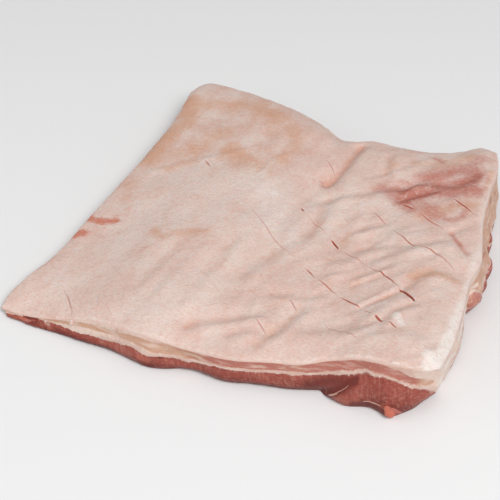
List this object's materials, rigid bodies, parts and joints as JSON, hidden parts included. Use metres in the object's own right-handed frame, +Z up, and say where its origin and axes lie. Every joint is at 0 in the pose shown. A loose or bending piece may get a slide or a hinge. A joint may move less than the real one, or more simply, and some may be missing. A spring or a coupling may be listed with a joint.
{
  "type": "raw pork belly slab",
  "caption": "Raw slab of pork belly lying rind side up, thin at one corner and thick along one side, with a folded rind, shallow knife cuts and streaky cut sides.",
  "frame": {"origin": "on the table under the middle of the slab's box", "axes": "+Z up, out of the rind; +X along the near cut edge towards the thick side; +Y away from the near cut edge"},
  "size_m": [0.3178, 0.3082, 0.0449],
  "materials": {
    "rind": "raw, soft satin",
    "flesh": "raw, moist"
  },
  "bodies": {
    "root": {"pork_belly_slab": "rind"}
  },
  "joints": []
}
